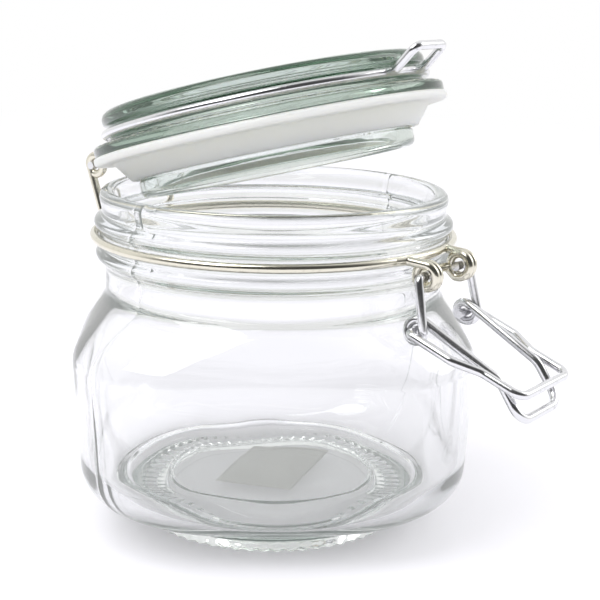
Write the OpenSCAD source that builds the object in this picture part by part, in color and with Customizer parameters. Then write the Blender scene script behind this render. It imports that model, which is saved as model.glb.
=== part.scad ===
// Wire-bail storage jar: a square glass jar with a round neck, a glass lid with its rubber gasket,
// and four bent wires that hinge the lid at the back and clamp it down at the front.
// Z is up, the jar stands on z = 0, the clamp is at the front (-Y) and the hinge at the back (+Y).

/* [Jar body] */
// Half the width of the square body across its flat sides
body_half = 51.4; // [48:0.1:54]
// Radius of the body's upright corners
body_corner_r = 31.6; // [24:0.1:36]
// Turn of the square body from its corner pointing at the clamp
body_turn = 6.9; // [0:0.1:45]
// Height at which the shoulder starts to curve in
shoulder_z = 46.8; // [40:0.1:50]
// Height at which the shoulder meets the neck
neck_z = 61; // [57:0.1:63]
// Share of its width that the body loses from the shoulder to the heel
body_taper = 0.05; // [0:0.005:0.08]
// Height of the rounded heel above the foot
heel_h = 14.5; // [8:0.5:18]
// Thickness of the body's glass wall
wall_t = 3.2; // [2:0.1:4]
// Height of the glass floor inside
floor_z = 9.5; // [6:0.1:11]
// How much smaller the glass floor's radius is than the foot's
floor_inset = 2.2; // [1:0.1:5]

/* [Foot] */
// Outer radius of the foot where it meets the heel
foot_r = 36.8; // [36.4:0.1:40]
// Outer radius of the flat ring that the jar stands on
foot_contact_r = 35.4; // [33:0.1:36]
// Width of that flat ring
foot_ring_w = 3.4; // [2:0.1:5]
// Height of the foot
foot_h = 5.2; // [3:0.1:6]
// Depth of the hollow under the base
punt_h = 2.8; // [2:0.1:4]

/* [Neck and mouth] */
// Outer radius of the plain neck
neck_r = 44.6; // [43:0.1:45]
// Inner radius of the neck
neck_in_r = 41; // [39:0.1:41.6]
// Widening of the mouth above the neck
mouth_flare = 0.7; // [0.3:0.1:1.5]
// Outer radius of the bead under the neck wire
low_bead_r = 47.1; // [46:0.1:47.4]
// Height of the bead under the neck wire
low_bead_z = 71.4; // [70.5:0.1:71.8]
// Outer radius of the bead over the neck wire
high_bead_r = 47.4; // [46.5:0.1:47.8]
// Height of the bead over the neck wire
high_bead_z = 79.6; // [79.3:0.1:80.5]
// Outer radius of the mouth's rim
mouth_r = 45.9; // [44.5:0.1:46]
// Height of the mouth's rim
mouth_z = 88.1; // [87:0.1:89]

/* [Lid] */
// Angle that the lid stands open
lid_open = 15; // [0:0.5:90]
// Radius of the lid's lower flange, over the gasket
flange_r = 46.2; // [45:0.1:46.6]
// Thickness of the lower flange
flange_t = 3.2; // [2:0.1:4]
// Radius of the groove that holds the lid wire
groove_r = 41.2; // [40:0.1:41.6]
// Height of the groove
groove_h = 4.4; // [3:0.1:5.4]
// Radius of the lid's top rim
top_r = 42.6; // [42:0.1:44]
// Height of the lid's top rim
top_h = 3.6; // [3.1:0.1:6]
// Depth of the dish in the lid's top
dish_h = 2.2; // [1:0.1:3]
// Width of the flat rim round the dish
dish_rim_w = 5; // [4:0.1:9]
// Width of the dish's sloping side
dish_slope_w = 5; // [2:0.1:9]
// Space between the plug and the mouth, which the gasket's cone fills
plug_gap = 5.3; // [3.8:0.1:7.6]
// Depth of the plug under the lower flange
plug_h = 12.4; // [8:0.1:14]
// Thickness of the plug's wall
plug_t = 4; // [3:0.1:6]
// Thickness of the glass between the dish and the plug's hollow
lid_web_t = 4; // [3:0.1:5]
// Radius of the hollow's rounded top corner
hollow_round = 5; // [2:0.1:8]

/* [Gasket] */
// Outer radius of the gasket
gasket_r = 46.7; // [46.3:0.1:47.2]
// Thickness of the gasket's lip between the rim and the lid
gasket_t = 2.2; // [1.5:0.1:3]
// Drop of the gasket's inner cone below its lip
gasket_drop = 5.2; // [3:0.1:6.5]
// Thickness of the gasket's cone at its lower edge
gasket_edge_t = 1.6; // [1:0.1:2.5]

/* [Wires] */
// Diameter of the neck wire
neck_wire_d = 2.3; // [2:0.05:2.5]
// Diameter of the lid wire
lid_wire_d = 2.2; // [1.8:0.05:2.4]
// Diameter of the lever's wire
lever_wire_d = 2.3; // [2:0.05:2.4]
// Diameter of the bail's wire
bail_wire_d = 2.2; // [1.8:0.05:2.3]
// Clearance between a pin and the eye that it turns in
eye_play = 0.3; // [0.15:0.05:0.5]
// Gap between neighbouring wires, and between a wire and the glass
gap = 0.3; // [0.2:0.05:0.5]

/* [Hinge] */
// Distance of the hinge axis behind the jar's axis
hinge_y = 51.8; // [51.3:0.1:54]
// Height of the hinge axis
hinge_z = 90.5; // [88:0.1:92]
// Distance of each rear eye from the middle
hinge_half = 13; // [11:0.1:16]
// Distance of each leg of the lid wire inside its rear eye
leg_inset = 3.7; // [3:0.1:5]
// Length of each hinge pin past its rear eye
pin_past = 2.5; // [1.8:0.1:4]

/* [Lid catch] */
// Half the width of the catch at the front of the lid wire
catch_half = 6.6; // [5:0.1:9]
// Reach of the catch in front of the jar's axis
catch_f = 51.8; // [49:0.1:54]
// Rise of the catch over the lid wire
catch_rise = 4.4; // [3:0.1:7]

/* [Clamp] */
// Distance of the lever's pins in front of the jar's axis
pin_f = 51.9; // [51.4:0.1:53]
// Height of the lever's pins
pin_z = 72.7; // [71.5:0.1:73.5]
// Lean of the lever's arms away from the jar
arm_lean = 0; // [-1:0.5:6]
// Length of the lever's arms, from the pins to the bail's axis
arm_l = 12.7; // [11.5:0.1:14]
// Slope of the lever's handle below level
handle_slope = 29; // [20:1:34]
// Length of the handle, from the bail's axis to its kink
handle_l = 23.2; // [20:0.1:26]
// Length of the handle's bent end
handle_end_l = 11; // [8:0.1:14]
// Slope of the handle's bent end below level
handle_end_slope = 56; // [45:1:65]
// Half the width of the handle
handle_half = 10.1; // [9:0.1:10.8]
// Length of the bail, from its axis to its cross bar
bail_l = 30.8; // [28:0.1:32]
// Slope of the bail below level
bail_slope = 21.5; // [14:0.5:24]
// Half the width of the bail at its cross bar
bail_half = 12.6; // [12:0.1:15]

/* [Label] */
// Width of the paper label under the base
label_w = 33; // [20:0.5:34]
// Depth of the paper label
label_d = 23.5; // [15:0.5:24]
// Distance of the label's centre to the right of the jar's axis
label_x = 4.7; // [-4.7:0.1:4.7]
// Distance of the label's centre behind the jar's axis
label_y = 3.5; // [-3.5:0.1:3.5]
// Turn of the label's long side from the hinge axis
label_turn = 27; // [0:1:90]
// Thickness of the paper label
label_t = 0.3; // [0.2:0.05:0.5]

/* [Hidden] */
$fn = 96;

JAR_SIDES = 72;
GLASS = [0.86, 0.91, 0.89, 0.5];

// Heights that follow from the mouth, with the lid closed
mouth_in_r = neck_in_r + mouth_flare;
plug_r = mouth_in_r - plug_gap;
ring_z = (low_bead_z + high_bead_z) / 2 + 0.5;
ring_r = (low_bead_r + high_bead_r) / 2;
lid_z = mouth_z + gap + gasket_t;
groove_z = lid_z + flange_t;
lid_wire_z = groove_z + groove_h / 2;
lid_wire_r = groove_r + gap / 3 + lid_wire_d / 2;
top_z = groove_z + groove_h;
plug_z = lid_z - plug_h;

// ---- Glass jar ----

// Distance from the axis to a rounded square of half width a and corner radius r, in direction t
function square_r(a, r, t) =
    let (u = abs(cos(t)), v = abs(sin(t)), c = a - r, s = max(u, v), m = min(u, v))
    a * m / s <= c ? a / s : c * (u + v) + sqrt(max(0, r * r - c * c * (u - v) * (u - v)));

// The body's outline at height z, less a wall of t, blended into the neck and the foot
function shoulder_mix(z, z0, z1) = sin(90 * min(1, max(0, (z1 - z) / (z1 - z0))));
function heel_mix(z, z0, h) =
    let (q = 1 - min(1, max(0, (z - z0) / h)))
    sqrt(max(0, 1 - q * q));
function body_r(z, t, wall) =
    let (k = 1 - body_taper * max(0, shoulder_z - z) / shoulder_z)
    k * square_r(body_half - wall, max(4, body_corner_r - wall), t - 45 + body_turn);

// Each ring of the jar is [height, radius of the round part, share of the body's square, wall]
function ring(z, r, mix, wall) =
    [for (i = [0:JAR_SIDES - 1])
        let (t = 360 * i / JAR_SIDES, q = r + mix * (body_r(z, t, wall) - r))
        [q * cos(t), q * sin(t), z]];

// Round profiles of the neck, from the shoulder up to the rim and down inside
bead_r = 1.9;
groove_floor_r = ring_r - neck_wire_d / 2 - gap / 3;
function bead(r, z, out) =
    [for (a = [-72:36:72]) [z + bead_r * sin(a), r - bead_r * (1 - cos(a)) * out]];
rim_r = (mouth_r - mouth_in_r) / 2;
neck_profile = concat(
    [[neck_z, neck_r], [low_bead_z - bead_r - 1.6, neck_r]],
    bead(low_bead_r, low_bead_z, 1.15),
    [[ring_z - neck_wire_d * 0.42, groove_floor_r + 0.2], [ring_z, groove_floor_r],
     [ring_z + neck_wire_d * 0.42, groove_floor_r + 0.2]],
    bead(high_bead_r, high_bead_z, 1.2),
    [[high_bead_z + bead_r + 0.8, mouth_r - 0.9], [high_bead_z + bead_r + 2, mouth_r - 0.5]],
    [for (a = [0:22.5:180]) [mouth_z - rim_r + rim_r * sin(a), mouth_r - rim_r + rim_r * cos(a)]],
    [[mouth_z - rim_r - 4, neck_in_r], [neck_z + 1, neck_in_r]]);

body_top_steps = [for (i = [1:9]) neck_z - (neck_z - shoulder_z) * i / 9];
body_steps = [for (i = [1:4]) shoulder_z - (shoulder_z - foot_h - heel_h) * i / 4];
heel_steps = [for (a = [75, 58, 42, 28, 15]) foot_h + heel_h * (1 - cos(a))];
in_top_z = neck_z + 0.4;
in_heel_h = heel_h + 1;
in_steps = [for (i = [1:9]) in_top_z - (in_top_z - shoulder_z) * i / 9];
in_body_steps = [for (i = [1:4]) shoulder_z - (shoulder_z - floor_z - in_heel_h) * i / 4];
in_heel_steps = [for (a = [75, 58, 42, 28, 15, 0]) floor_z + in_heel_h * (1 - cos(a))];
in_floor_r = foot_r - floor_inset;

jar_rings = concat(
    [ring(foot_h, foot_r, 0, 0)],
    [for (i = [len(heel_steps) - 1:-1:0]) let (z = heel_steps[i])
        ring(z, foot_r, heel_mix(z, foot_h, heel_h), 0)],
    [for (i = [len(body_steps) - 1:-1:0]) ring(body_steps[i], foot_r, 1, 0)],
    [for (i = [len(body_top_steps) - 1:-1:0]) let (z = body_top_steps[i])
        ring(z, neck_r, shoulder_mix(z, shoulder_z, neck_z), 0)],
    [for (p = neck_profile) ring(p[0], p[1], 0, 0)],
    [for (z = in_steps) ring(z, neck_in_r, shoulder_mix(z, shoulder_z, in_top_z), wall_t)],
    [for (z = in_body_steps) ring(z, in_floor_r, 1, wall_t)],
    [for (z = in_heel_steps) ring(z, in_floor_r, heel_mix(z, floor_z, in_heel_h), wall_t)]);

// A closed solid from rings that follow each other, with its two end rings capped
module lofted(rings) {
    n = len(rings[0]);
    m = len(rings);
    sides = [for (j = [0:m - 2]) for (i = [0:n - 1])
        [j * n + i, (j + 1) * n + i, (j + 1) * n + (i + 1) % n, j * n + (i + 1) % n]];
    first = [for (i = [0:n - 1]) i];
    last = [for (i = [n - 1:-1:0]) (m - 1) * n + i];
    polyhedron(points = [for (r = rings) each r], faces = concat(sides, [first, last]), convexity = 8);
}

// The foot: a flat ring round a shallow hollow, sunk a little into the body above it
module foot() {
    edge = 0.6;
    ring_in = foot_contact_r - foot_ring_w;
    top_out = foot_r - 0.2;
    rotate_extrude() polygon([
        [0, punt_h], [ring_in - punt_h, punt_h], [ring_in, 0], [foot_contact_r, 0],
        [foot_contact_r + edge, edge], [top_out, foot_h], [top_out, foot_h + 1], [0, foot_h + 1]]);
}

module jar() {
    color(GLASS) {
        lofted(jar_rings);
        foot();
    }
}

// ---- Lid ----

// Turns a closed lid's parts open about the hinge axis
module opened() {
    hinge = [0, hinge_y, hinge_z];
    translate(hinge) rotate([-lid_open, 0, 0]) translate(-hinge) children();
}

// Arc of points in a profile: centre, radius, first angle, last angle
function arc(c, r, a0, a1, n = 4) =
    [for (i = [0:n]) let (a = a0 + (a1 - a0) * i / n) c + r * [cos(a), sin(a)]];

module lid() {
    hollow_r = plug_r - plug_t;
    dish_z = top_z + top_h - dish_h;
    hollow_z = dish_z - lid_web_t;
    dish_r = top_r - dish_rim_w;
    top_round = min(2, top_h / 2);
    color(GLASS) opened() rotate_extrude() polygon(concat(
        [[0, hollow_z]],
        arc([hollow_r - hollow_round, hollow_z - hollow_round], hollow_round, 90, 0),
        arc([plug_r - plug_t / 2, plug_z + plug_t / 2], plug_t / 2, 180, 360, 6),
        [[plug_r, lid_z], [flange_r - 0.6, lid_z]],
        arc([flange_r - flange_t / 2, lid_z + flange_t / 2], flange_t / 2, -50, 70),
        [[groove_r, groove_z], [groove_r, top_z], [top_r - 1, top_z]],
        arc([top_r - top_round, top_z + top_h - top_round], top_round, -20, 90),
        [[dish_r, top_z + top_h], [dish_r - dish_slope_w, dish_z], [0, dish_z]]));
}

module gasket() {
    low_z = lid_z - gasket_t;
    seat_r = mouth_in_r + gap;
    bore_r = plug_r + gap / 3;
    color("ivory") opened() rotate_extrude() polygon(concat(
        [[bore_r, lid_z]],
        arc([gasket_r - gasket_t / 2, low_z + gasket_t / 2], gasket_t / 2, 90, -90),
        [[seat_r, low_z], [bore_r + gasket_edge_t, low_z - gasket_drop], [bore_r, low_z - gasket_drop]]));
}

// ---- Bent wires ----

WIRE_SIDES = 10;
BEND_STEP = 22;
PIN_BEND = 1.6;

function unit(v) = v / norm(v);

// Points round a bend of radius r at corner v, on the way from a to b
function bend(a, v, b, r) =
    let (u = unit(v - a), w = unit(b - v), turn = acos(max(-1, min(1, u * w))),
         inward = unit(w - u * (u * w)), c = v - u * r * tan(turn / 2) + inward * r, n = ceil(turn / BEND_STEP))
    [for (k = [0:n]) c - inward * r * cos(turn * k / n) + u * r * sin(turn * k / n)];

// Points along a path of [corner, bend radius], where a radius of 0 is a plain point
function along(path) = [for (i = [0:len(path) - 1]) each path[i][1] == 0 ? [path[i][0]]
    : bend(path[i - 1][0], path[i][0], path[i + 1][0], path[i][1])];

// A bent wire of diameter d through a path of [corner, bend radius]
module wire(path, d) {
    p = along(path);
    last = len(p) - 1;
    steps = [for (i = [0:last - 1]) unit(p[i + 1] - p[i])];
    ways = [for (i = [0:last]) unit(steps[max(0, i - 1)] + steps[min(last - 1, i)])];
    side = unit(cross(ways[0], abs(ways[0][2]) < 0.9 ? [0, 0, 1] : [1, 0, 0]));
    square_to = function(v, w) unit(v - w * (v * w));
    sides = [for (i = 0, v = side; i <= last; i = i + 1, v = square_to(v, ways[min(i, last)])) v];
    lofted([for (i = [0:last]) let (v = sides[i], w = cross(ways[i], v))
        [for (k = [0:WIRE_SIDES - 1]) let (a = 360 * k / WIRE_SIDES)
            p[i] + d / 2 * (v * cos(a) + w * sin(a))]]);
}

// A place in front of the jar: x across, f forward from the jar's axis, z up
function at(x, f, z) = [x, -f, z];
function across(v) = [-v[0], v[1], v[2]];
function mirrored(path) = [for (i = [len(path) - 1:-1:0]) [across(path[i][0]), path[i][1]]];

// A coil of radius r round [f, z], from heading h0 down to heading h1 while it moves from x0 to x1
function coil(x0, x1, f, z, r, h0, h1) =
    let (n = ceil(abs(h1 - h0) / BEND_STEP))
    [for (k = [0:n]) let (s = k / n, h = h0 + (h1 - h0) * s + 90)
        [at(x0 + (x1 - x0) * s, f + r * cos(h), z + r * sin(h)), 0]];

// A straight pin on both sides, a little fuller than its wire, along X from x0 to x1
PIN_MORE = 0.1;
module pins(x0, x1, f, z, d) {
    for (side = [-1, 1]) translate(at(side > 0 ? x0 : -x1, f, z)) rotate([0, 90, 0])
        cylinder(h = x1 - x0, d = d + PIN_MORE, $fn = 48);
}

module torus(r, z, d) {
    translate([0, 0, z]) rotate_extrude() translate([r, 0]) circle(d = d, $fn = 32);
}

// ---- Neck wire: a ring in the neck's groove, rear eyes for the lid, front eyes for the lever ----

eye_r = lever_wire_d / 2 + eye_play + neck_wire_d / 2 + gap;
eye_in = handle_half - 3;
eye_out = eye_in + neck_wire_d + 0.2;
rear_eye_r = lid_wire_d / 2 + eye_play + neck_wire_d / 2;
post_y = hinge_y - rear_eye_r;
strand_f = low_bead_r + gap + neck_wire_d / 2 + 0.1;
strand_z = pin_z - 0.6;
leave_x = eye_out + 3.4;

front_side = concat(
    [[at(-leave_x, sqrt(ring_r * ring_r - leave_x * leave_x), ring_z), 0],
     [at(-eye_out, ring_r - 0.3, ring_z), PIN_BEND]],
    coil(-eye_out, -eye_in, pin_f, pin_z, eye_r, 0, -560),
    [[at(-eye_in, strand_f, strand_z), 1.2]]);

module neck_wire() {
    ring_y = sqrt(ring_r * ring_r - hinge_half * hinge_half);
    color("silver") {
        torus(ring_r, ring_z, neck_wire_d);
        wire(concat(front_side, mirrored(front_side)), neck_wire_d);
        for (side = [-1, 1]) wire(concat(
            [[[side * hinge_half, ring_y, ring_z], 0], [[side * hinge_half, post_y, ring_z], PIN_BEND]],
            coil(side * hinge_half, side * hinge_half, -hinge_y, hinge_z, rear_eye_r, 90, -200)),
            neck_wire_d);
    }
}

// ---- Lid wire: a ring in the lid's groove, rear legs with hinge pins, and the front catch ----

leg_half = hinge_half - leg_inset;
pin_end = hinge_half + pin_past;

module lid_wire() {
    leg_y = sqrt(lid_wire_r * lid_wire_r - leg_half * leg_half);
    catch_y = sqrt(lid_wire_r * lid_wire_r - catch_half * catch_half);
    catch = [[at(-catch_half, catch_y, lid_wire_z), 0], [at(-catch_half, flange_r - 1.4, lid_wire_z), 2],
        [at(-catch_half, catch_f, lid_wire_z + catch_rise), 2]];
    color("gainsboro") opened() {
        torus(lid_wire_r, lid_wire_z, lid_wire_d);
        wire(concat(catch, mirrored(catch)), lid_wire_d);
        pins(leg_half + PIN_BEND, pin_end, -hinge_y, hinge_z, lid_wire_d);
        for (side = [-1, 1]) wire([
            [[side * leg_half, leg_y, lid_wire_z], 0], [[side * leg_half, flange_r + 2, lid_wire_z], 3],
            [[side * leg_half, hinge_y, hinge_z], PIN_BEND],
            [[side * (leg_half + PIN_BEND + 0.8), hinge_y, hinge_z], 0]], lid_wire_d);
    }
}

// ---- Clamp: the lever hangs from the neck wire's front eyes, and the bail from the lever's coils ----

bail_f = pin_f + arm_l * sin(arm_lean);
bail_z = pin_z - arm_l * cos(arm_lean);
coil_r = bail_wire_d / 2 + eye_play + lever_wire_d / 2;
arm_half = eye_out + neck_wire_d / 2 + gap + lever_wire_d / 2;
coil_out = arm_half + 1.5;
coil_in = coil_out - lever_wire_d - 0.1;
arm_heading = asin(coil_r / arm_l) - 90 + arm_lean;
kink_f = bail_f + coil_r * sin(handle_slope) + handle_l * cos(handle_slope);
kink_z = bail_z + coil_r * cos(handle_slope) - handle_l * sin(handle_slope);

end_f = kink_f + handle_end_l * cos(handle_end_slope);
end_z = kink_z - handle_end_l * sin(handle_end_slope);

lever_side = concat(
    [[at(-(arm_half - PIN_BEND - 0.8), pin_f, pin_z), 0], [at(-arm_half, pin_f, pin_z), PIN_BEND]],
    coil(-coil_out, -coil_in, bail_f, bail_z, coil_r, arm_heading, -360 - handle_slope),
    [[at(-handle_half, kink_f, kink_z), 6], [at(-handle_half, end_f, end_z), 4]]);

module lever() {
    color("gainsboro") {
        wire(concat(lever_side, mirrored(lever_side)), lever_wire_d);
        pins(eye_in - neck_wire_d / 2 - 0.4, arm_half - PIN_BEND, pin_f, pin_z, lever_wire_d);
    }
}

bail_leg = coil_out + lever_wire_d / 2 + gap + bail_wire_d / 2;
bail_narrow = handle_half + lever_wire_d / 2 + gap + bail_wire_d / 2;
function on_bail(x, l) = at(x, bail_f + l * cos(bail_slope), bail_z - l * sin(bail_slope));

bail_side = [
    [at(-(bail_leg - PIN_BEND - 0.8), bail_f, bail_z), 0], [at(-bail_leg, bail_f, bail_z), PIN_BEND],
    [on_bail(-bail_leg, bail_l * 0.42), 4], [on_bail(-bail_narrow, bail_l * 0.64), 4],
    [on_bail(-bail_half, bail_l), 3]];

module bail() {
    color("gainsboro") {
        wire(concat(bail_side, mirrored(bail_side)), bail_wire_d);
        pins(coil_in - lever_wire_d / 2 - 2, bail_leg - PIN_BEND, bail_f, bail_z, bail_wire_d);
    }
}

// ---- Label ----

module base_label() {
    color("whitesmoke") translate([label_x, label_y, punt_h - label_t / 2]) rotate(label_turn)
        cube([label_w, label_d, label_t], center = true);
}

jar();
lid();
gasket();
neck_wire();
lid_wire();
lever();
bail();
base_label();
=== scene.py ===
from math import acos, ceil, cos, exp, pi, radians, sin, sqrt, tan

import bmesh
import bpy
from bpy.props import FloatProperty, FloatVectorProperty, IntProperty, PointerProperty
from mathutils import Matrix, Vector, noise


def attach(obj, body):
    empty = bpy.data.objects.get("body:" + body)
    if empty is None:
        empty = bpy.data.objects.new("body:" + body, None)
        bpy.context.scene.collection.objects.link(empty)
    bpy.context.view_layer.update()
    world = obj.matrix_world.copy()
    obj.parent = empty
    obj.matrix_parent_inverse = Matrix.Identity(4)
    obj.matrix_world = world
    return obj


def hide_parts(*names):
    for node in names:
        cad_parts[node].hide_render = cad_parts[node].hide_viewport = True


bl_info = {
    "name": "Lidded Glass Canister",
    "version": (1, 0, 0),
    "blender": (4, 5, 0),
    "location": "3D View > Sidebar > Canister",
    "description": "Models a square glass jar with its lid, gasket and wire clamp over the frame",
    "category": "Add Mesh",
}

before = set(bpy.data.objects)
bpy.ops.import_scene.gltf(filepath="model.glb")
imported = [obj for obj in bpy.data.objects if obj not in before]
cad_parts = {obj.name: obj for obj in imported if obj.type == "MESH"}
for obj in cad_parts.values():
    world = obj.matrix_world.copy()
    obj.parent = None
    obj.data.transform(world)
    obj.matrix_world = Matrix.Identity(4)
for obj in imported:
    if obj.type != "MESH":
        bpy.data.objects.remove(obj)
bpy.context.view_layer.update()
MM = 0.001

# Sizes are in millimetres as far as the looks. The jar's are those of the part's source, apart
# from the wall and the inside floor, which are thinner here, and the floor's two faint rings.
BODY_HALF, BODY_CORNER, BODY_TURN, BODY_TAPER = 51.4, 31.6, 6.9, 0.05
SHOULDER_Z, NECK_Z, HEEL_H, WALL = 46.8, 61.0, 14.5, 2.2
FLOOR_Z, FLOOR_R, FLOOR_STEP, INNER_HEEL, DOME_MID = 9.6, 42.3, 0.2, 12.5, 0.3
RING_MARK_R, DISC_MARK_R, MARK_H, MARK_W = 40.0, 28.0, 1.0, 0.55
DISC_MARK_H, DISC_MARK_W = MARK_H * 0.35, MARK_W * 0.7

# Foot: its hollow underneath, the ring it stands on, and its side up to the body
FOOT_R, FOOT_TOP_R, FOOT_H, HOLLOW_R, HOLLOW_H = 36.6, 37.2, 5.2, 29.2, 2.8
TREAD_IN_R, TREAD_R, FOOT_SIDE_R, FOOT_EDGE = 32.0, 35.4, 36.0, 0.6

# Neck and mouth: the two beads are (radius, height), and their feet are drawn out a little
NECK_R, NECK_IN_R, NECK_TOP_Z, NECK_IN_Z = 44.6, 41.0, 67.9, 82
MOUTH_R, MOUTH_IN_R, MOUTH_Z, MOUTH_FOOT_Z, MOUTH_SIDE_Z = 45.9, 41.7, 88.1, 82.3, 83.6
LOW_BEAD, HIGH_BEAD, BEAD_R, LOW_SPREAD, HIGH_SPREAD = (47.1, 71.4), (47.4, 79.6), 1.9, 1.15, 1.2

# Mould seams: their half width, the angle over which points are drawn in to them, and how strongly
SEAM_W, SEAM_REACH, SEAM_PULL, SEAM_IN_R = 0.32, radians(5), 2.2, 33
# Ripples of the inner surface: their size, and how much of them the floor has
RIPPLE_SIZE, FLOOR_RIPPLE, FLOOR_TOP_Z = 15, 0.3, 20
# Foot ribs: how far up they reach on the side and underneath, and where the side begins
RIB_H, RIB_TREAD_H, RIB_SIDE_R = 4, 1.2, 35
# Creases that the glass has rounded: (height, reach), and how often their points are evened
CREASES, CREASE_PASSES = ((NECK_Z, 2.2), (FOOT_H + 0.6, 1.4)), 6
JAR_STEPS, LID_STEPS, RING_STEPS = 288, 192, 240

# Lid, closed, and its hinge
LID_OPEN = radians(15)
HINGE = Vector((0, 51.8, 90.5))
LID_Z, LID_H, FLANGE_R, FLANGE_H, GROOVE_R, GROOVE_Z = 90.6, 101.8, 46.2, 2.7, 41.2, 93.8
TOP_R, TOP_Z, RIM_IN_R, DISH_R, DISH_H, LID_HOLLOW_Z = 42.6, 98.2, 37.6, 32.6, 2.2, 95.6
PLUG_R, PLUG_Z, PLUG_T, PLUG_LIP_H, PLUG_WAIST = 36.4, 78.2, 4.0, 4.2, 0.7

# Gasket, closed: a flat ring with a cone below it, round the plug
GASKET_R, GASKET_H, GASKET_GAP, GASKET_MID_Z = 46.7, 2.2, 0.1, 87
CONE_TOP_R, CONE_H, CONE_T = 42, 5.2, 1.6

# Wires: diameters, then the neck wire's ring and its eyes (EYE in front, REAR_EYE at the hinge)
NECK_WIRE, LID_WIRE, LEVER_WIRE, BAIL_WIRE, PIN_BEND = 2.3, 2.2, 2.3, 2.2, 1.6
RING_R, RING_Z, REAR_EYE_R, HINGE_HALF = 47.25, 76.0, 2.55, 13.0
EYE_R, EYE_IN, EYE_OUT, PIN_F, PIN_Z = 2.9, 7.1, 9.6, 51.9, 72.7
STRAND_F, STRAND_Z, LEAVE_X = 48.65, 72.1, 13.0
# Lid wire: its ring, its two legs back to the hinge and the catch in front
LID_WIRE_R, LID_WIRE_Z, LEG_HALF, PIN_END = 42.4, 96.0, 9.3, 15.5
CATCH_HALF, CATCH_F, CATCH_RISE = 6.6, 51.8, 4.4
# Lever: its arms, the coils that hold the bail, and its handle; points are (forward, up)
LEVER_START, COIL_R, ARM_HALF, COIL_OUT, COIL_IN = 1.55, 2.55, 12.2, 13.7, 11.3
HANDLE_HALF, HANDLE_KNEE, HANDLE_END = 10.1, (73.4, 51.0), (79.6, 41.9)
# Bail: its slope, and its bends as (half width, reach from the pin, bend radius)
BAIL_START, BAIL_PIN, BAIL_Z, BAIL_SLOPE = 8.1, 16.25, 60.0, radians(21.5)
BAIL_BENDS = ((16.25, 12.94, 4), (12.65, 19.71, 4), (12.6, 30.8, 3))

# Label under the base
LABEL_SIZE, LABEL_CELLS, LABEL_AT, LABEL_TURN = (32, 22), (34, 24), (6.6, 4.6, 2.66), radians(17)
LABEL_T, LABEL_WAVE = 0.1, 0.05

# Looks: the glow that stands in for light still inside the glass after its last counted
# reflection, and the number of reflections between which it sets in
TRAPPED, LAST_REFLECTION = 0.3, (4.4, 4.6)
# Floor: brightness lent to open paper, to paper seen through glass and to paper under the foot,
# and that of far paper seen through glass; the smaller ones are painted shade under the jar and
# behind glass; then, in metres from the middle, where the foot's painted shade ends and where
# the paper goes plain white
OPEN_LIFT, GLASS_LIFT, FOOT_LIFT, FAR_GLASS = 0.38, 0.22, 0.27, 0.88
FOOT_SHADE, PAPER_FADE = (0.032, 0.048), (0.35, 1.1)
# Surroundings: the tent is open behind the camera, where the room is darker; the pairs are the
# share of that direction, and the strengths from closed to open, in reflections and through glass
OPEN_SIDE = (-0.81, -0.57, 0.12)
REFLECTED, THROUGH = ((-0.15, 0.6), (1.0, 0.06)), ((0.0, 0.7), (0.9, 0.15))
# Lamps, in metres, as (name, place, size, share of the key light's power), and the camera
LAMPS = (("key_softbox", (-0.5, 0.2, 0.9), 0.7, 1), ("fill_softbox", (0.7, -0.6, 0.6), 0.6, 0.4))
LAMP_AIM = Vector((0, 0, 0.05))
CAMERA_AT, CAMERA_AIM = (-0.28683, -0.21175, 0.14213), Vector((0.79425, 0.56197, -0.23100))
CAMERA_ROLL, SENSOR, CLIP = radians(0.957), 36, (0.01, 20)


# ---- Shapes ----

def arc(centre, radius, first, last, count):
    """Points of a circle round a centre in a profile, from one angle in degrees to another"""
    angles = [radians(first + (last - first) * k / count) for k in range(count + 1)]
    return [(centre[0] + radius * cos(a), centre[1] + radius * sin(a)) for a in angles]


def rounded(corners, turn_step=9):
    """A dense path through (corner, bend radius) pairs, with an arc where there is a radius"""
    points = []
    for i, (corner, radius) in enumerate(corners):
        corner = Vector(corner)
        if radius == 0:
            points.append(corner)
            continue
        before = (corner - Vector(corners[i - 1][0])).normalized()
        after = (Vector(corners[i + 1][0]) - corner).normalized()
        turn = acos(max(-1, min(1, before.dot(after))))
        inward = (after - before * before.dot(after)).normalized()
        centre = corner - before * radius * tan(turn / 2) + inward * radius
        count = max(2, ceil(turn / radians(turn_step)))
        for k in range(count + 1):
            a = turn * k / count
            points.append(centre - inward * radius * cos(a) + before * radius * sin(a))
    return points


def even(points, step):
    """The same path with its points about one step apart"""
    made = [points[0]]
    for a, b in zip(points, points[1:]):
        count = max(1, round((b - a).length / step))
        made += [a.lerp(b, (k + 1) / count) for k in range(count)]
    return made


def relaxed(points, times):
    """The same path with its corners softened, as hot glass leaves them, and its ends kept"""
    for _ in range(times):
        middle = [(a + b * 2 + c) / 4 for a, b, c in zip(points, points[1:], points[2:])]
        points = [points[0], *middle, points[-1]]
    return points


def spun(profile, steps, layers=()):
    """A closed shell, spun from rows of (radius, height, value for each layer), axis to axis"""
    bm = bmesh.new()
    kept = [bm.verts.layers.float.new(name) for name in layers]
    verts = []
    for point in profile:
        vert = bm.verts.new((point[0] * MM, 0, point[1] * MM))
        for layer, value in zip(kept, point[2:]):
            vert[layer] = value
        verts.append(vert)
    edges = [bm.edges.new(pair) for pair in zip(verts, verts[1:])]
    bmesh.ops.spin(bm, geom=verts + edges, cent=(0, 0, 0), axis=(0, 0, 1), angle=2 * pi,
                   steps=steps, use_merge=True)
    bmesh.ops.remove_doubles(bm, verts=bm.verts, dist=1e-7)
    bmesh.ops.recalc_face_normals(bm, faces=bm.faces)
    return bm


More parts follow.
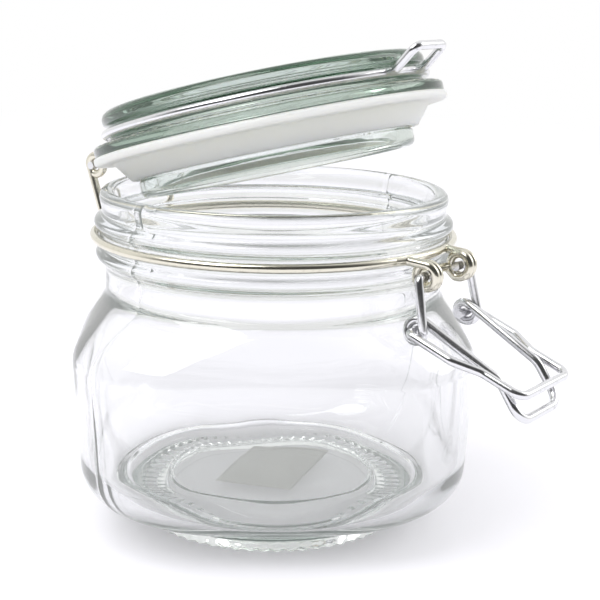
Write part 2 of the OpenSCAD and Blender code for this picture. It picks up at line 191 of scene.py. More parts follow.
def piece(name, bm, material, body, node):
    """A smooth mesh object from a bmesh that rides on a body and stands for a CAD node"""
    for face in bm.faces:
        face.smooth = True
    mesh = bpy.data.meshes.new(name)
    bm.to_mesh(mesh)
    bm.free()
    mesh.materials.append(material)
    obj = bpy.data.objects.new(name, mesh)
    bpy.context.scene.collection.objects.link(obj)
    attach(obj, body)
    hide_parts(node)
    return obj


def opened(bm):
    """Turns a closed lid's mesh open about its hinge"""
    turn = Matrix.Rotation(-LID_OPEN, 4, "X")
    at = Matrix.Translation(HINGE * MM)
    bmesh.ops.transform(bm, matrix=at @ turn @ at.inverted(), verts=bm.verts)


def opened_path(points):
    """Turns a closed lid wire's path open about its hinge"""
    turn = Matrix.Rotation(-LID_OPEN, 3, "X")
    return [turn @ (p - HINGE) + HINGE for p in points]


# ---- Jar ----

def square_radius(half, corner, heading):
    """Distance from the axis to a rounded square of a half width and a corner radius"""
    u, v = abs(cos(heading)), abs(sin(heading))
    flat, big, small = half - corner, max(u, v), min(u, v)
    if half * small / big <= flat:
        return half / big
    return flat * (u + v) + sqrt(max(0, corner ** 2 - flat ** 2 * (u - v) ** 2))


def body_radius(z, heading, wall):
    """The square body's outline at a height, less the wall for the inside"""
    taper = 1 - BODY_TAPER * max(0, SHOULDER_Z - z) / SHOULDER_Z
    turned = heading - radians(45 - BODY_TURN)
    return taper * square_radius(BODY_HALF, BODY_CORNER, turned) - wall


def bead(size, spread):
    """Profile of a bead round the neck, from its foot to its top"""
    radius, z = size
    return [Vector((radius - BEAD_R * (1 - cos(a)) * spread, z + BEAD_R * sin(a), 0, 0))
            for a in [radians(d) for d in range(-80, 81, 16)]]


def jar_outside():
    """Rows of (radius of the round part, height, share of the square body, wall) from the middle
    of the underside, up the outside and over the rim"""
    foot = [((0, HOLLOW_H), 0), ((HOLLOW_R, HOLLOW_H), 1.5), ((TREAD_IN_R, 0), 1.2),
            ((TREAD_R, 0), FOOT_EDGE), ((FOOT_SIDE_R, FOOT_EDGE), FOOT_EDGE),
            ((FOOT_TOP_R, FOOT_H), 0)]
    rows = even([Vector((*p, 0, 0)) for p in rounded(foot, 15)], 1.2)
    heel = [radians(a) for a in range(6, 91, 4)]
    rows += [Vector((FOOT_R, FOOT_H + HEEL_H * (1 - cos(a)), sin(a), 0)) for a in heel]
    top = FOOT_H + HEEL_H
    rows += [Vector((FOOT_R, top + (SHOULDER_Z - top) * k / 16, 1, 0)) for k in range(1, 17)]
    rise = NECK_Z - SHOULDER_Z
    rows += [Vector((NECK_R, SHOULDER_Z + rise * k / 18, cos(pi / 2 * k / 18), 0))
             for k in range(1, 19)]
    wire_r = RING_R - NECK_WIRE / 2 - 0.1
    neck = [Vector((NECK_R, NECK_TOP_Z, 0, 0)), *bead(LOW_BEAD, LOW_SPREAD),
            Vector((wire_r, RING_Z - 1, 0, 0)), Vector((wire_r, RING_Z + 1, 0, 0)),
            *bead(HIGH_BEAD, HIGH_SPREAD), Vector((MOUTH_R - 0.9, MOUTH_FOOT_Z, 0, 0)),
            Vector((MOUTH_R - 0.5, MOUTH_SIDE_Z, 0, 0))]
    rim = (MOUTH_R - MOUTH_IN_R) / 2
    neck += [Vector((*p, 0, 0)) for p in arc((MOUTH_R - rim, MOUTH_Z - rim), rim, 0, 180, 14)]
    neck = relaxed(even([rows[-1], *neck, Vector((NECK_IN_R, NECK_IN_Z, 0, 0))], 0.55), 3)
    return rows + neck[1:]


def jar_inside():
    """Rows as for the outside, from the neck down to the middle of the floor"""
    top = NECK_Z + 0.4
    rows = [Vector((NECK_IN_R, NECK_IN_Z - (NECK_IN_Z - top) * k / 12, 0, WALL))
            for k in range(1, 13)]
    rows += [Vector((NECK_IN_R, top - (top - SHOULDER_Z) * k / 16, sin(pi / 2 * k / 16), WALL))
             for k in range(1, 17)]
    low = FLOOR_Z + INNER_HEEL
    rows += [Vector((FLOOR_R, SHOULDER_Z - (SHOULDER_Z - low) * k / 14, 1, WALL))
             for k in range(1, 15)]
    rows += [Vector((FLOOR_R, FLOOR_Z + INNER_HEEL * (1 - cos(a)), sin(a), WALL))
             for a in [radians(d) for d in range(86, 1, -4)]]
    floor = even([Vector((FLOOR_R - FLOOR_STEP, 0)), Vector((RING_MARK_R + 2.5, 0))], 1.2)
    for mark in (RING_MARK_R, DISC_MARK_R):
        floor += [Vector((mark + 2 - k / 4, 0)) for k in range(17)]
    floor += even([Vector((DISC_MARK_R - 2.5, 0)), Vector((0, 0))], 1.6)
    marks = ((RING_MARK_R, MARK_H, MARK_W), (DISC_MARK_R, DISC_MARK_H, DISC_MARK_W))
    for point in floor:
        rise = DOME_MID * (1 - (point.x / FLOOR_R) ** 2)
        for mark, height, width in marks:
            rise += height * exp(-((point.x - mark) / width) ** 2)
        rows.append(Vector((point.x, FLOOR_Z + rise, 0, WALL)))
    return rows


def shape_jar(bm, settings):
    """Pushes the round shell out to the square body, and adds the seams, foot ribs and ripples"""
    mix_layer, wall_layer = [bm.verts.layers.float[name] for name in ("mix", "wall")]
    seam_h, rib_h = settings.seam_height / MM, settings.rib_depth / MM
    ripple, seam = settings.ripple / MM, radians(settings.seam_heading)
    for vert in bm.verts:
        x, y, z = vert.co / MM
        mix, wall = vert[mix_layer], vert[wall_layer]
        radius = sqrt(x * x + y * y)
        if radius < 0.01:
            continue
        heading = Vector((x, y)).angle_signed(Vector((1, 0)))
        off = (heading - seam + pi / 2) % pi - pi / 2
        seamed = wall == 0 and z < MOUTH_Z - 0.2 and radius > SEAM_IN_R and z > FOOT_H
        if seamed and abs(off) < SEAM_REACH:
            share = abs(off) / SEAM_REACH
            heading += (share ** SEAM_PULL - share) * SEAM_REACH * (1 if off > 0 else -1)
            off = share ** SEAM_PULL * SEAM_REACH
        radius += mix * (body_radius(z, heading, wall) - radius)
        if seamed:
            radius += seam_h * exp(-(off * radius / SEAM_W) ** 2)
        if wall:
            where = Vector((radius * cos(heading), radius * sin(heading), z)) / RIPPLE_SIZE
            amount = ripple * noise.noise(where)
            radius += amount
            z += FLOOR_RIPPLE * amount if mix == 0 and z < FLOOR_TOP_Z else 0
        if wall == 0 and z < RIB_H and radius > TREAD_IN_R:
            groove = rib_h * (1 - (1 + cos(heading * settings.rib_count)) / 2)
            z += groove * max(0, 1 - z / RIB_TREAD_H)
            radius -= groove * max(0, 1 - z / RIB_H) * (1 if radius > RIB_SIDE_R else 0)
        vert.co = Vector((radius * cos(heading), radius * sin(heading), z)) * MM
    creased = [v for v in bm.verts if v[wall_layer] == 0 and
               any(abs(v.co.z / MM - height) < reach for height, reach in CREASES)]
    for _ in range(CREASE_PASSES):
        bmesh.ops.smooth_vert(bm, verts=creased, factor=0.5, use_axis_x=True, use_axis_y=True,
                              use_axis_z=True)


# ---- Lid and gasket ----

def lid_profile():
    """The closed lid from the middle of its hollow, round its plug, flange, groove and top rim,
    to the dish"""
    hollow_r, dish_z, lip_z = PLUG_R - PLUG_T, LID_H - DISH_H, PLUG_Z + PLUG_LIP_H
    corners = [((0, LID_HOLLOW_Z), 0), ((hollow_r, LID_HOLLOW_Z), 5), ((hollow_r, PLUG_Z), 1.9),
               ((PLUG_R, PLUG_Z), 1.9), ((PLUG_R, lip_z), 0.5),
               ((PLUG_R - PLUG_WAIST, lip_z + 0.6), 0.4), ((PLUG_R - 0.5, LID_Z), 0.6),
               ((FLANGE_R, LID_Z), 0.5), ((FLANGE_R, LID_Z + FLANGE_H), 1.1),
               ((GROOVE_R, GROOVE_Z), 0.7), ((GROOVE_R, TOP_Z), 0.7), ((TOP_R, TOP_Z), 0.8),
               ((TOP_R, LID_H), 2.1), ((RIM_IN_R, LID_H), 2), ((DISH_R, dish_z), 3),
               ((0, dish_z), 0)]
    return even(rounded(corners, 11), 1.4)


def gasket_profile():
    """The closed gasket's cross-section, once round"""
    low, bore = LID_Z - GASKET_H, PLUG_R + GASKET_GAP
    corners = [((bore, GASKET_MID_Z), 0), ((bore, LID_Z), 0.3), ((GASKET_R, LID_Z), 0.9),
               ((GASKET_R, low), 0.9), ((CONE_TOP_R, low), 1.2),
               ((bore + CONE_T, low - CONE_H), 0.7), ((bore, low - CONE_H), 0.5),
               ((bore, GASKET_MID_Z), 0)]
    return even(rounded(corners, 15), 1.1)


# ---- Wires ----

def front(x, f, z):
    """A point in front of the jar: across, forward of the axis, up"""
    return Vector((x, -f, z))


def coil(x0, x1, f, z, radius, h0, h1):
    """Points of a coil round (f, z), from one heading to another, while it moves across"""
    count = ceil(abs(h1 - h0) / 9)
    points = []
    for k in range(count + 1):
        heading = radians(h0 + (h1 - h0) * k / count + 90)
        point = front(x0 + (x1 - x0) * k / count, f + radius * cos(heading),
                      z + radius * sin(heading))
        points.append((point, 0))
    return points


def both_sides(path):
    """A path on the left side and the same one back on the right"""
    return path + [(Vector((-p.x, p.y, p.z)), radius) for p, radius in reversed(path)]


def ring_points(radius, z):
    """Points of a level ring round the axis"""
    angles = [2 * pi * k / RING_STEPS for k in range(RING_STEPS)]
    return [Vector((radius * cos(a), radius * sin(a), z)) for a in angles]


def wire_piece(name, strands, diameter, material, body, node, lid=False):
    """Round wire along paths of (points, closed), as a mesh"""
    curve = bpy.data.curves.new(name, "CURVE")
    curve.dimensions = "3D"
    curve.bevel_depth = diameter / 2 * MM
    curve.bevel_resolution = 5
    curve.use_fill_caps = True
    for points, closed in strands:
        points = opened_path(points) if lid else points
        spline = curve.splines.new("POLY")
        spline.points.add(len(points) - 1)
        for target, point in zip(spline.points, points):
            target.co = (*(point * MM), 1)
        spline.use_cyclic_u = closed
    source = bpy.data.objects.new(name + "_path", curve)
    bpy.context.scene.collection.objects.link(source)
    bpy.context.view_layer.update()
    bm = bmesh.new()
    bm.from_mesh(source.to_mesh())
    source.to_mesh_clear()
    bpy.data.objects.remove(source)
    bpy.data.curves.remove(curve)
    return piece(name, bm, material, body, node)


# ---- Materials ----

def colour(code):
    """Linear colour of an sRGB hex value"""
    parts = [int(code[i:i + 2], 16) / 255 for i in (1, 3, 5)]
    return [p / 12.92 if p <= 0.04045 else ((p + 0.055) / 1.055) ** 2.4 for p in parts] + [1]


def add_node(tree, kind, at, inputs=(), **settings):
    """Adds a node with its settings; inputs are (socket, value or the socket that feeds it)"""
    node = tree.nodes.new(kind)
    node.location = at
    for name, value in settings.items():
        setattr(node, name, value)
    for name, value in inputs:
        if isinstance(value, bpy.types.NodeSocket):
            tree.links.new(value, node.inputs[name])
        else:
            node.inputs[name].default_value = value
    return node


def noise_node(tree, at, scale, detail):
    """Noise over the piece's own coordinates, with its scale in waves to the metre"""
    where = add_node(tree, "ShaderNodeTexCoord", (at[0] - 200, at[1]))
    pattern = add_node(tree, "ShaderNodeTexNoise", at, [("Vector", where.outputs["Object"]),
                       ("Scale", scale), ("Detail", detail)])
    return pattern.outputs["Fac"]


def bump_node(tree, at, height, strength, distance):
    """Surface relief from a height, with its greatest depth in metres"""
    bump = add_node(tree, "ShaderNodeBump", at, [("Height", height), ("Strength", strength),
                                                 ("Distance", distance)])
    return bump.outputs["Normal"]


def range_node(tree, at, value, source, target, kind="LINEAR"):
    """A value carried over from one range to another"""
    mapped = add_node(tree, "ShaderNodeMapRange", at,
                      [("Value", value), ("From Min", source[0]), ("From Max", source[1]),
                       ("To Min", target[0]), ("To Max", target[1])], interpolation_type=kind)
    return mapped.outputs["Result"]


def mix_node(tree, at, factor, a, b):
    """A number between two others"""
    mixed = add_node(tree, "ShaderNodeMix", at, [("Factor", factor), ("A", a), ("B", b)])
    return mixed.outputs["Result"]


def new_material(name):
    """An empty node material and its tree"""
    material = bpy.data.materials.new(name)
    material.use_nodes = True
    material.node_tree.nodes.clear()
    return material, material.node_tree


def surface(tree, at, shader, **volume):
    """The material's output"""
    inputs = [("Surface", shader)] + list(volume.items())
    add_node(tree, "ShaderNodeOutputMaterial", at, inputs)


def glass_material(name, tint, density, wave):
    """Soda-lime glass, pressed in a mould: clear, with a grey-green body that only thick parts
    show, and soft ripples from the press"""
    material, tree = new_material(name)
    # Ripples of a pressed surface, about 12 mm from crest to crest
    ripples = noise_node(tree, (-700, 0), 80.0, 2.0)
    # The renderer follows four reflections inside a wall; a weak glow stands in for the rest
    path = add_node(tree, "ShaderNodeLightPath", (-900, -500))
    trapped = range_node(tree, (-480, -500), path.outputs["Glossy Depth"], LAST_REFLECTION,
                         (0.0, TRAPPED))
    shader = add_node(tree, "ShaderNodeBsdfPrincipled", (-240, 0), [
        ("Base Color", (1, 1, 1, 1)), ("Roughness", 0.0), ("IOR", 1.52),
        ("Transmission Weight", 1.0), ("Emission Color", (1, 1, 1, 1)),
        ("Emission Strength", trapped),
        ("Normal", bump_node(tree, (-480, 0), ripples, 1.0, wave))])
    absorb = add_node(tree, "ShaderNodeVolumeAbsorption", (-240, -420),
                      [("Color", (*tint, 1)), ("Density", density)])
    surface(tree, (60, 0), shader.outputs["BSDF"], Volume=absorb.outputs["Volume"])
    return material


def rubber_material(tone):
    """Silicone rubber, compression moulded: off-white and slightly see-through, with a dull skin"""
    material, tree = new_material("silicone_rubber_moulded")
    # Fine mould grain, drawn at 0.6 mm so that it shows, and clouds of about 17 mm
    grain = noise_node(tree, (-700, -200), 1600.0, 3.0)
    clouds = noise_node(tree, (-700, 100), 60.0, 3.0)
    tones = add_node(tree, "ShaderNodeMix", (-480, 100),
                     [("Factor", clouds), ("A", (*tone, 1)), ("B", colour("#F8F6E8"))],
                     data_type="RGBA")
    shader = add_node(tree, "ShaderNodeBsdfPrincipled", (-240, 0), [
        ("Base Color", tones.outputs[2]), ("Roughness", 0.42), ("IOR", 1.41),
        ("Subsurface Weight", 1.0), ("Subsurface Radius", (1.0, 0.95, 0.85)),
        ("Subsurface Scale", 0.012),
        ("Normal", bump_node(tree, (-480, -200), grain, 0.25, 0.0001))])
    surface(tree, (60, 0), shader.outputs["BSDF"])
    return material


def wire_material(name, tone, dark, roughness):
    """Drawn steel wire, zinc plated or left bright: with dull spots of about 1 mm"""
    material, tree = new_material(name)
    spots = noise_node(tree, (-700, 100), 900.0, 4.0)
    tones = add_node(tree, "ShaderNodeValToRGB", (-480, 100), [("Fac", spots)])
    for stop, position, shade in zip(tones.color_ramp.elements, (0.25, 0.4), (dark, tone)):
        stop.position, stop.color = position, colour(shade)
    dull = range_node(tree, (-480, -150), spots, (0.3, 0.7), (roughness + 0.05, roughness))
    shader = add_node(tree, "ShaderNodeBsdfPrincipled", (-240, 0), [
        ("Base Color", tones.outputs["Color"]), ("Metallic", 1.0), ("Roughness", dull),
        ("Normal", bump_node(tree, (-480, -400), spots, 0.2, 0.00002))])
    surface(tree, (60, 0), shader.outputs["BSDF"])
    return material


def paper_material(tone):
    """Label paper, uncoated and machine made: matt, with fibres and a mottle of about 1.4 mm"""
    material, tree = new_material("label_paper_uncoated")
    fibres = noise_node(tree, (-700, 0), 700.0, 6.0)
    tones = add_node(tree, "ShaderNodeMix", (-480, 100),
                     [("Factor", fibres), ("A", colour(tone)), ("B", colour("#F6F5F1"))],
                     data_type="RGBA")
    shader = add_node(tree, "ShaderNodeBsdfPrincipled", (-240, 0), [
        ("Base Color", tones.outputs[2]), ("Roughness", 0.9),
        ("Normal", bump_node(tree, (-480, -200), fibres, 0.4, 0.0001))])
    surface(tree, (60, 0), shader.outputs["BSDF"])
    return material


def floor_material():
    """Seamless paper, dyed near white: matt, and lit so that it keeps the jar's shadow, with
    painted shade under the foot and behind glass, and goes plain white farther out"""
    material, tree = new_material("white_seamless_paper")
    path = add_node(tree, "ShaderNodeLightPath", (-700, 200))
    through = path.outputs["Is Transmission Ray"]
    seen = add_node(tree, "ShaderNodeMath", (-480, 200),
                    [(0, path.outputs["Is Camera Ray"]), (1, through)], operation="MAXIMUM")
    seen = add_node(tree, "ShaderNodeMath", (-300, 200),
                    [(0, seen.outputs[0]), (1, path.outputs["Is Glossy Ray"])],
                    operation="MAXIMUM")
    where = add_node(tree, "ShaderNodeTexCoord", (-900, -100))
    length = add_node(tree, "ShaderNodeVectorMath", (-700, -100),
                      [(0, where.outputs["Object"])], operation="LENGTH").outputs["Value"]
    far = range_node(tree, (-480, -100), length, PAPER_FADE, (0.0, 1.0), "SMOOTHSTEP")
    paper = add_node(tree, "ShaderNodeBsdfDiffuse", (-300, 0), [("Color", colour("#C9C8CE"))])
    # Painted shade: the paper is lifted less under the foot, a painted shadow under the jar, and
    # less where it is seen through glass, which darkens the glass's look
    open_lift = range_node(tree, (-680, -350), through, (0.0, 1.0), (OPEN_LIFT, GLASS_LIFT))
    lifted = range_node(tree, (-480, -350), length, FOOT_SHADE, (FOOT_LIFT, open_lift),
                        "SMOOTHSTEP")
    lift = add_node(tree, "ShaderNodeEmission", (-300, -250),
                    [("Color", (1, 1, 1, 1)), ("Strength", lifted)])
    # Far paper seen through glass is dimmed too: more painted shade in the glass's look
    dimmed = range_node(tree, (-480, -550), through, (0.0, 1.0), (1.0, FAR_GLASS))
    plain = add_node(tree, "ShaderNodeEmission", (-300, -400),
                     [("Color", (1, 1, 1, 1)), ("Strength", dimmed)])
    near = add_node(tree, "ShaderNodeAddShader", (-100, -100),
                    [(0, paper.outputs["BSDF"]), (1, lift.outputs["Emission"])])
    faded = add_node(tree, "ShaderNodeMixShader", (80, -100), [
        ("Fac", far), (1, near.outputs["Shader"]), (2, plain.outputs["Emission"])])
    final = add_node(tree, "ShaderNodeMixShader", (260, 0), [
        ("Fac", seen.outputs[0]), (1, paper.outputs["BSDF"]), (2, faded.outputs["Shader"])])
    surface(tree, (440, 0), final.outputs["Shader"])
    return material


def tent_world():
    """A white tent of light, with its open side darker in reflections and through glass"""
    world = bpy.data.worlds.new("light_tent")
    world.use_nodes = True
    tree = world.node_tree
    tree.nodes.clear()
    path = add_node(tree, "ShaderNodeLightPath", (-700, 300)).outputs
    where = add_node(tree, "ShaderNodeTexCoord", (-1100, 0))
    room = add_node(tree, "ShaderNodeVectorMath", (-900, 0),
                    [(0, where.outputs["Generated"]), (1, OPEN_SIDE)],
                    operation="DOT_PRODUCT").outputs["Value"]
    reflected = range_node(tree, (-700, 0), room, *REFLECTED, "SMOOTHSTEP")
    through = range_node(tree, (-700, -300), room, *THROUGH, "SMOOTHSTEP")
    light = mix_node(tree, (-480, 0), path["Is Glossy Ray"], 1.0, reflected)
    light = mix_node(tree, (-300, -100), path["Is Transmission Ray"], light, through)
    light = mix_node(tree, (-300, 100), path["Is Camera Ray"], light, 1.0)
    back = add_node(tree, "ShaderNodeBackground", (-100, 0),
                    [("Color", (1, 1, 1, 1)), ("Strength", light)])
    add_node(tree, "ShaderNodeOutputWorld", (100, 0), [("Surface", back.outputs["Background"])])
    return world


# ---- Settings ----

class CANISTER_PG_jar(bpy.types.PropertyGroup):
    """Detail of the glass jar"""
    tint: FloatVectorProperty(
        name="Glass tint", description="Colour of light that has passed through thick glass",
        subtype="COLOR", size=3, min=0, max=1, default=colour("#9BBFB2")[:3])
    density: FloatProperty(
        name="Tint density", description="How fast the glass takes its tint with thickness",
        default=8.0, min=0, max=100)
    seam_height: FloatProperty(
        name="Seam height", description="How far the mould seams stand proud",
        default=0.00022, min=0, max=0.001, unit="LENGTH")
    seam_heading: FloatProperty(
        name="Seam heading", description="Direction of the first mould seam, in degrees",
        default=169, min=0, max=180)
    ripple: FloatProperty(
        name="Inner ripple", description="Unevenness of the inner surface",
        default=0.00018, min=0, max=0.001, unit="LENGTH")
    rib_count: IntProperty(
        name="Foot ribs", description="Ribs round the foot", default=64, min=0, max=120)
    rib_depth: FloatProperty(
        name="Rib depth", description="Depth of the grooves between the foot's ribs",
        default=0.0004, min=0, max=0.001, unit="LENGTH")


class CANISTER_PG_lid(bpy.types.PropertyGroup):
    """Detail of the lid and its gasket"""
    tint: FloatVectorProperty(
        name="Glass tint", description="Colour of light that has passed through the lid's rim",
        subtype="COLOR", size=3, min=0, max=1, default=colour("#9DBFA8")[:3])
    density: FloatProperty(
        name="Tint density", description="How fast the lid's glass takes its tint with thickness",
        default=40.0, min=0, max=100)
    rubber: FloatVectorProperty(
        name="Rubber", description="Colour of the gasket's darker clouds",
        subtype="COLOR", size=3, min=0, max=1, default=colour("#F5F2DF")[:3])


class CANISTER_PG_wires(bpy.types.PropertyGroup):
    """Finish of the wires"""
    zinc_roughness: FloatProperty(
        name="Zinc roughness", description="Dullness of the neck wire's zinc",
        default=0.17, min=0.02, max=1)
    bright_roughness: FloatProperty(
        name="Steel roughness", description="Dullness of the lid wire and the clamp",
        default=0.16, min=0.02, max=1)


class CANISTER_PG_stage(bpy.types.PropertyGroup):
    """Camera and surroundings"""
    lens: FloatProperty(
        name="Lens", description="Focal length of the camera, in millimetres",
        default=81.75, min=20, max=200)
    floor_size: FloatProperty(
        name="Floor size", description="Width of the floor",
        default=3, min=1, max=10, unit="LENGTH")
    key_power: FloatProperty(
        name="Key light", description="Power of the large soft light, in watts",
        default=6, min=0, max=100)


# ---- Operators ----

class CANISTER_OT_jar(bpy.types.Operator):
    """Model the square glass jar with its round neck, foot ribs and mould seams"""
    bl_idname = "canister.jar"
    bl_label = "Glass Jar"

    def execute(self, context):
        settings = context.scene.canister_jar
        bm = spun(jar_outside() + jar_inside(), JAR_STEPS, ("mix", "wall"))
        shape_jar(bm, settings)
        glass = glass_material("soda_lime_glass_pressed", settings.tint, settings.density,
                               0.000012)
        piece("glass_jar", bm, glass, "jar", "jar")
        return {"FINISHED"}


class CANISTER_OT_lid(bpy.types.Operator):
    """Model the glass lid with its plug, flange, wire groove and dished top"""
    bl_idname = "canister.lid"
    bl_label = "Glass Lid"

    def execute(self, context):
        settings = context.scene.canister_lid
        bm = spun(lid_profile(), LID_STEPS)
        opened(bm)
        glass = glass_material("soda_lime_glass_lid", settings.tint, settings.density, 0.00002)
        piece("glass_lid", bm, glass, "lid", "lid")
        return {"FINISHED"}


class CANISTER_OT_gasket(bpy.types.Operator):
    """Model the rubber gasket with its lip and its inner cone"""
    bl_idname = "canister.gasket"
    bl_label = "Rubber Gasket"

    def execute(self, context):
        bm = spun(gasket_profile(), LID_STEPS)
        opened(bm)
        rubber = rubber_material(context.scene.canister_lid.rubber)
        piece("rubber_gasket", bm, rubber, "lid", "gasket")
        return {"FINISHED"}


class CANISTER_OT_neck_wire(bpy.types.Operator):
    """Model the neck wire with its rear and front eyes"""
    bl_idname = "canister.neck_wire"
    bl_label = "Neck Wire"

    def execute(self, context):
        side = [(front(-LEAVE_X, sqrt(RING_R ** 2 - LEAVE_X ** 2), RING_Z), 0),
                (front(-EYE_OUT, RING_R - 0.3, RING_Z), PIN_BEND),
                *coil(-EYE_OUT, -EYE_IN, PIN_F, PIN_Z, EYE_R, 0, -560),
                (front(-EYE_IN, STRAND_F, STRAND_Z), 1.2)]
        strands = [(ring_points(RING_R, RING_Z), True), (rounded(both_sides(side)), False)]
        ring_y = sqrt(RING_R ** 2 - HINGE_HALF ** 2)
        for x in (-HINGE_HALF, HINGE_HALF):
            post = [(Vector((x, ring_y, RING_Z)), 0),
                    (Vector((x, HINGE.y - REAR_EYE_R, RING_Z)), PIN_BEND),
                    *coil(x, x, -HINGE.y, HINGE.z, REAR_EYE_R, 90, -200)]
            strands.append((rounded(post), False))
        steel = wire_material("zinc_plated_steel_wire", "#DEDACB", "#BDB8A8",
                              context.scene.canister_wires.zinc_roughness)
        wire_piece("neck_wire_ring", strands, NECK_WIRE, steel, "jar", "neck_wire")
        return {"FINISHED"}


class CANISTER_OT_lid_wire(bpy.types.Operator):
    """Model the lid wire with its hinge pins and its front catch"""
    bl_idname = "canister.lid_wire"
    bl_label = "Lid Wire"

    def execute(self, context):
        catch_y = sqrt(LID_WIRE_R ** 2 - CATCH_HALF ** 2)
        leg_y = sqrt(LID_WIRE_R ** 2 - LEG_HALF ** 2)
        catch = [(front(-CATCH_HALF, catch_y, LID_WIRE_Z), 0),
                 (front(-CATCH_HALF, FLANGE_R - 1.4, LID_WIRE_Z), 2),
                 (front(-CATCH_HALF, CATCH_F, LID_WIRE_Z + CATCH_RISE), 2)]
        strands = [(ring_points(LID_WIRE_R, LID_WIRE_Z), True),
                   (rounded(both_sides(catch)), False)]
        for side in (-1, 1):
            leg = [(Vector((side * LEG_HALF, leg_y, LID_WIRE_Z)), 0),
                   (Vector((side * LEG_HALF, FLANGE_R + 2, LID_WIRE_Z)), 3),
                   (Vector((side * LEG_HALF, HINGE.y, HINGE.z)), PIN_BEND),
                   (Vector((side * PIN_END, HINGE.y, HINGE.z)), 0)]
            strands.append((rounded(leg), False))
        steel = wire_material("bright_steel_lid_wire", "#E2E2E4", "#C2C3C6",
                              context.scene.canister_wires.bright_roughness)
        wire_piece("lid_wire_ring", strands, LID_WIRE, steel, "lid", "lid_wire",
                   lid=True)
        return {"FINISHED"}


class CANISTER_OT_clamp(bpy.types.Operator):
    """Model the clamp: the lever with its coils and handle, and the bail"""
    bl_idname = "canister.clamp"
    bl_label = "Wire Clamp"

    def execute(self, context):
        steel = wire_material("bright_steel_clamp_wire", "#E2E2E4", "#C2C3C6",
                              context.scene.canister_wires.bright_roughness)
        lever = [(front(-(EYE_IN - LEVER_START), PIN_F, PIN_Z), 0),
                 (front(-ARM_HALF, PIN_F, PIN_Z), PIN_BEND),
                 *coil(-COIL_OUT, -COIL_IN, PIN_F, BAIL_Z, COIL_R, -78.4, -389),
                 (front(-HANDLE_HALF, *HANDLE_KNEE), 6), (front(-HANDLE_HALF, *HANDLE_END), 4)]
        wire_piece("clamp_lever", [(rounded(both_sides(lever)), False)], LEVER_WIRE, steel,
                   "lever", "lever")
        bail = [(front(-BAIL_START, PIN_F, BAIL_Z), 0),
                (front(-BAIL_PIN, PIN_F, BAIL_Z), PIN_BEND)]
        for x, reach, radius in BAIL_BENDS:
            bail.append((front(-x, PIN_F + reach * cos(BAIL_SLOPE),
                               BAIL_Z - reach * sin(BAIL_SLOPE)), radius))
        wire_piece("clamp_bail", [(rounded(both_sides(bail)), False)], BAIL_WIRE, steel,
                   "bail", "bail")
        return {"FINISHED"}


class CANISTER_OT_label(bpy.types.Operator):
    """Model the blank paper label under the base"""
    bl_idname = "canister.label"
    bl_label = "Paper Label"

    def execute(self, context):
        across, along = LABEL_SIZE
        bm = bmesh.new()
        bmesh.ops.create_grid(bm, x_segments=LABEL_CELLS[0], y_segments=LABEL_CELLS[1], size=0.5)
        bmesh.ops.scale(bm, verts=bm.verts, vec=(across * MM, along * MM, 1))
        for vert in bm.verts:
            vert.co.z = LABEL_WAVE * MM * noise.noise(vert.co * 90)
        bmesh.ops.solidify(bm, geom=bm.faces, thickness=LABEL_T * MM)
        place = Matrix.Translation([x * MM for x in LABEL_AT])
        bmesh.ops.transform(bm, matrix=place @ Matrix.Rotation(LABEL_TURN, 4, "Z"),
                            verts=bm.verts)
        bmesh.ops.recalc_face_normals(bm, faces=bm.faces)
        piece("paper_label", bm, paper_material("#E6E4DC"), "jar", "base_label")
        return {"FINISHED"}


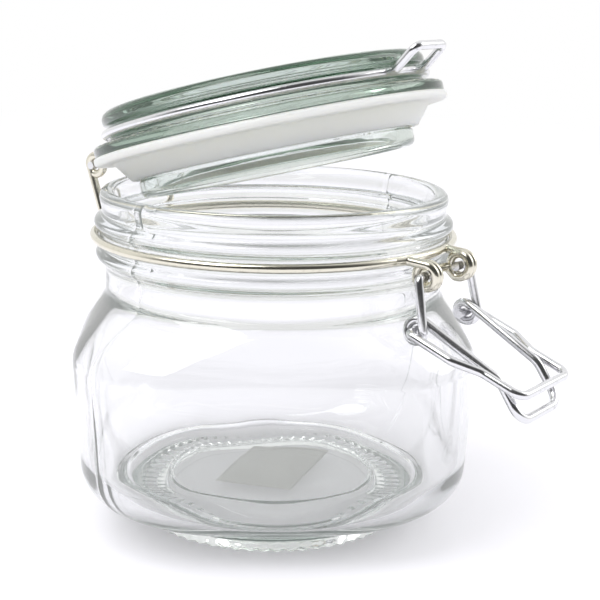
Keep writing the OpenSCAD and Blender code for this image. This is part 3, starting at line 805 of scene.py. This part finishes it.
class CANISTER_OT_stage(bpy.types.Operator):
    """Set up the pale floor, the soft lights, the white surroundings and the camera"""
    bl_idname = "canister.stage"
    bl_label = "Studio Stage"

    def execute(self, context):
        scene, settings = context.scene, context.scene.canister_stage
        scene.view_settings.view_transform = "Standard"
        bm = bmesh.new()
        bmesh.ops.create_grid(bm, x_segments=1, y_segments=1, size=settings.floor_size / 2)
        mesh = bpy.data.meshes.new("floor")
        bm.to_mesh(mesh)
        bm.free()
        mesh.materials.append(floor_material())
        floor = bpy.data.objects.new("floor", mesh)
        scene.collection.objects.link(floor)
        scene.world = tent_world()

        for name, place, size, share in LAMPS:
            light = bpy.data.lights.new(name, "AREA")
            light.energy, light.size = settings.key_power * share, size
            lamp = bpy.data.objects.new(name, light)
            lamp.location = place
            lamp.rotation_euler = (LAMP_AIM - lamp.location).to_track_quat("-Z", "Y").to_euler()
            scene.collection.objects.link(lamp)

        data = bpy.data.cameras.new("camera")
        data.lens, data.sensor_width = settings.lens, SENSOR
        data.clip_start, data.clip_end = CLIP
        camera = bpy.data.objects.new("camera", data)
        camera.location = CAMERA_AT
        aim = CAMERA_AIM.to_track_quat("-Z", "Y").to_matrix()
        camera.rotation_euler = (aim @ Matrix.Rotation(CAMERA_ROLL, 3, "Z")).to_euler()
        scene.collection.objects.link(camera)
        scene.camera = camera
        return {"FINISHED"}


class CANISTER_PT_panel(bpy.types.Panel):
    """Lists the canister's pieces and their settings"""
    bl_label = "Lidded Glass Canister"
    bl_idname = "CANISTER_PT_panel"
    bl_space_type = "VIEW_3D"
    bl_region_type = "UI"
    bl_category = "Canister"

    def draw(self, context):
        layout = self.layout
        for group, title, operators in PARTS:
            box = layout.box()
            box.label(text=title)
            settings = getattr(context.scene, group)
            for name in settings.__annotations__:
                box.prop(settings, name)
            for operator in operators:
                box.operator(operator)


PARTS = (
    ("canister_jar", "Jar", ("canister.jar", "canister.label")),
    ("canister_lid", "Lid", ("canister.lid", "canister.gasket")),
    ("canister_wires", "Wires", ("canister.neck_wire", "canister.lid_wire", "canister.clamp")),
    ("canister_stage", "Stage", ("canister.stage",)),
)
GROUPS = {"canister_jar": CANISTER_PG_jar, "canister_lid": CANISTER_PG_lid,
          "canister_wires": CANISTER_PG_wires, "canister_stage": CANISTER_PG_stage}
CLASSES = (*GROUPS.values(), CANISTER_OT_jar, CANISTER_OT_lid, CANISTER_OT_gasket,
           CANISTER_OT_neck_wire, CANISTER_OT_lid_wire, CANISTER_OT_clamp, CANISTER_OT_label,
           CANISTER_OT_stage, CANISTER_PT_panel)


def register():
    """Adds the operators, the panel and the settings to Blender"""
    for cls in CLASSES:
        bpy.utils.register_class(cls)
    for name, cls in GROUPS.items():
        setattr(bpy.types.Scene, name, PointerProperty(type=cls))


def unregister():
    """Takes them out again"""
    for name in GROUPS:
        delattr(bpy.types.Scene, name)
    for cls in reversed(CLASSES):
        bpy.utils.unregister_class(cls)


def main():
    """Registers the add-on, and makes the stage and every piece"""
    register()
    bpy.ops.canister.stage()
    bpy.ops.canister.jar()
    bpy.ops.canister.label()
    bpy.ops.canister.lid()
    bpy.ops.canister.gasket()
    bpy.ops.canister.neck_wire()
    bpy.ops.canister.lid_wire()
    bpy.ops.canister.clamp()


if __name__ == "__main__":
    main()
